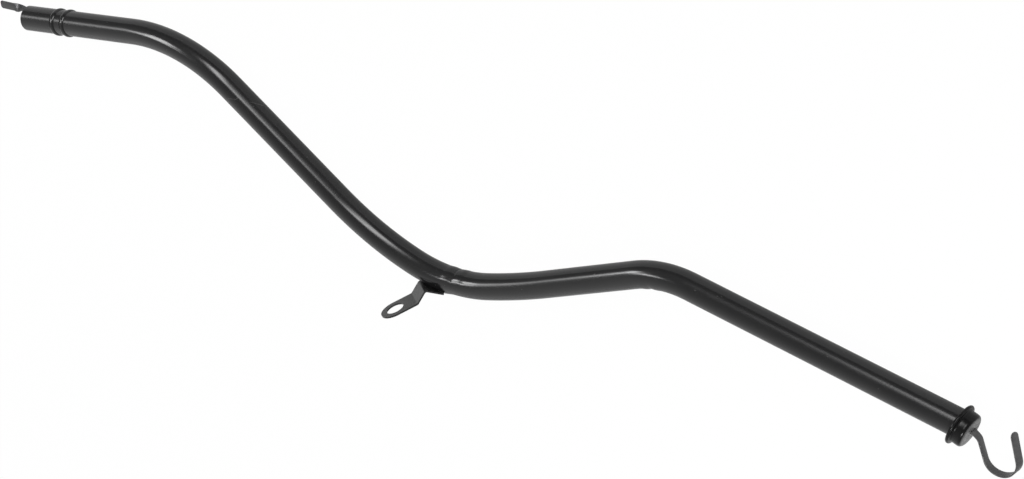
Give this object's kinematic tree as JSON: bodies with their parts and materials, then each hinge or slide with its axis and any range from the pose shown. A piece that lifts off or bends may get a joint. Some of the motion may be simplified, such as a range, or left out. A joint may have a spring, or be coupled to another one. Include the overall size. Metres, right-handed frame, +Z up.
{
  "type": "transmission dipstick with filler tube",
  "caption": "Bent black filler tube with rolled beads and a welded bracket, holding a steel dipstick with a flanged cap and a hook that slides out.",
  "frame": {"origin": "under the middle of the part's box, on the surface it lies on", "axes": "+X along the tube's upper run towards the cap, +Z up"},
  "size_m": [0.8562, 0.1384, 0.0463],
  "materials": {
    "black_paint": "satin",
    "spring_steel": "satin",
    "seal_rubber": "matte"
  },
  "bodies": {
    "tube": {"filler_tube": "black_paint", "mounting_bracket": "black_paint"},
    "dipstick": {"dipstick_blade": "spring_steel", "dipstick_cap": "black_paint", "cap_seal": "seal_rubber"}
  },
  "joints": [
    {"name": "dipstick_pull", "type": "slide", "parent": "tube", "child": "dipstick", "axis": [1, 0, 0.002], "range_m": [0, 0.012]}
  ]
}
